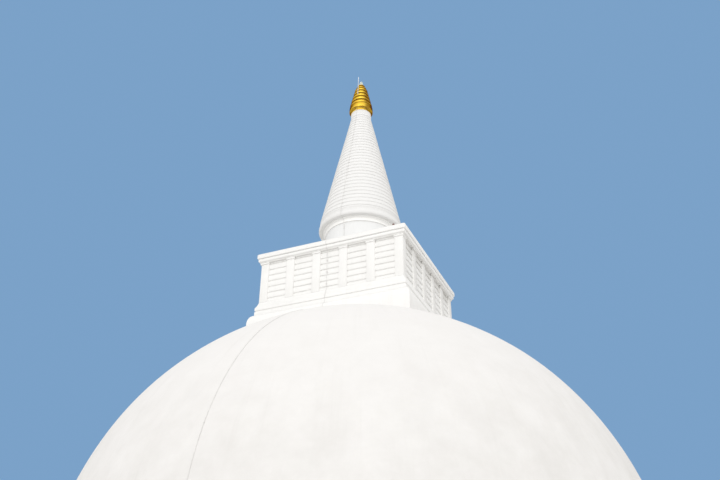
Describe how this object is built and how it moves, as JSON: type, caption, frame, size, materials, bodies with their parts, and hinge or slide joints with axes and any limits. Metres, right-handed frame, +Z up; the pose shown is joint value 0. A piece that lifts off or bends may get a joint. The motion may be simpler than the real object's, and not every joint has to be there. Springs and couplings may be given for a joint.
{
  "type": "stupa, 1:2 scale model",
  "caption": "White plastered stupa, 1:2 scale model: stepped round base, dome, square railed box, drum, ringed spire and gilded pinnacle with a crystal tip.",
  "frame": {"origin": "on the ground, on the axis of the dome and spire", "axes": "+Z up along the axis, X and Y square to the sides of the box above the dome, -Y the side that the picture shows on the left"},
  "size_m": [24.4962, 24.4962, 28.268],
  "materials": {
    "white_plaster": "lime plaster with limewash, matt",
    "gilding": "gilded, satin gloss",
    "crystal": "cut and polished, pale",
    "galvanised": "dull galvanised metal",
    "lamp_paint": "dark red-brown paint, weathered"
  },
  "bodies": {
    "root": {"base_plinth": "white_plaster", "lower_terrace": "white_plaster", "middle_terrace": "white_plaster", "upper_terrace": "white_plaster", "dome": "white_plaster", "box_plinth": "white_plaster", "box_base": "white_plaster", "box_core": "white_plaster", "corner_pilaster_1": "white_plaster", "corner_pilaster_2": "white_plaster", "corner_pilaster_3": "white_plaster", "corner_pilaster_4": "white_plaster", "rails_front": "white_plaster", "front_pilaster_1": "white_plaster", "front_pilaster_2": "white_plaster", "front_pilaster_3": "white_plaster", "front_pilaster_4": "white_plaster", "rails_right": "white_plaster", "right_pilaster_1": "white_plaster", "right_pilaster_2": "white_plaster", "right_pilaster_3": "white_plaster", "right_pilaster_4": "white_plaster", "rails_back": "white_plaster", "back_pilaster_1": "white_plaster", "back_pilaster_2": "white_plaster", "back_pilaster_3": "white_plaster", "back_pilaster_4": "white_plaster", "rails_left": "white_plaster", "left_pilaster_1": "white_plaster", "left_pilaster_2": "white_plaster", "left_pilaster_3": "white_plaster", "left_pilaster_4": "white_plaster", "cornice": "white_plaster", "top_slab": "white_plaster", "drum": "white_plaster", "drum_moulding": "white_plaster", "spire_foot": "white_plaster", "spire_lower": "white_plaster", "spire_middle": "white_plaster", "spire_upper": "white_plaster", "spire_neck": "white_plaster", "pinnacle": "gilding", "crystal": "crystal", "lightning_rod": "galvanised", "rod_clamp_lower": "galvanised", "rod_clamp_upper": "galvanised", "conductor_spire": "galvanised", "conductor_box": "galvanised", "conductor_dome": "galvanised", "slab_lamp": "lamp_paint"}
  },
  "joints": []
}
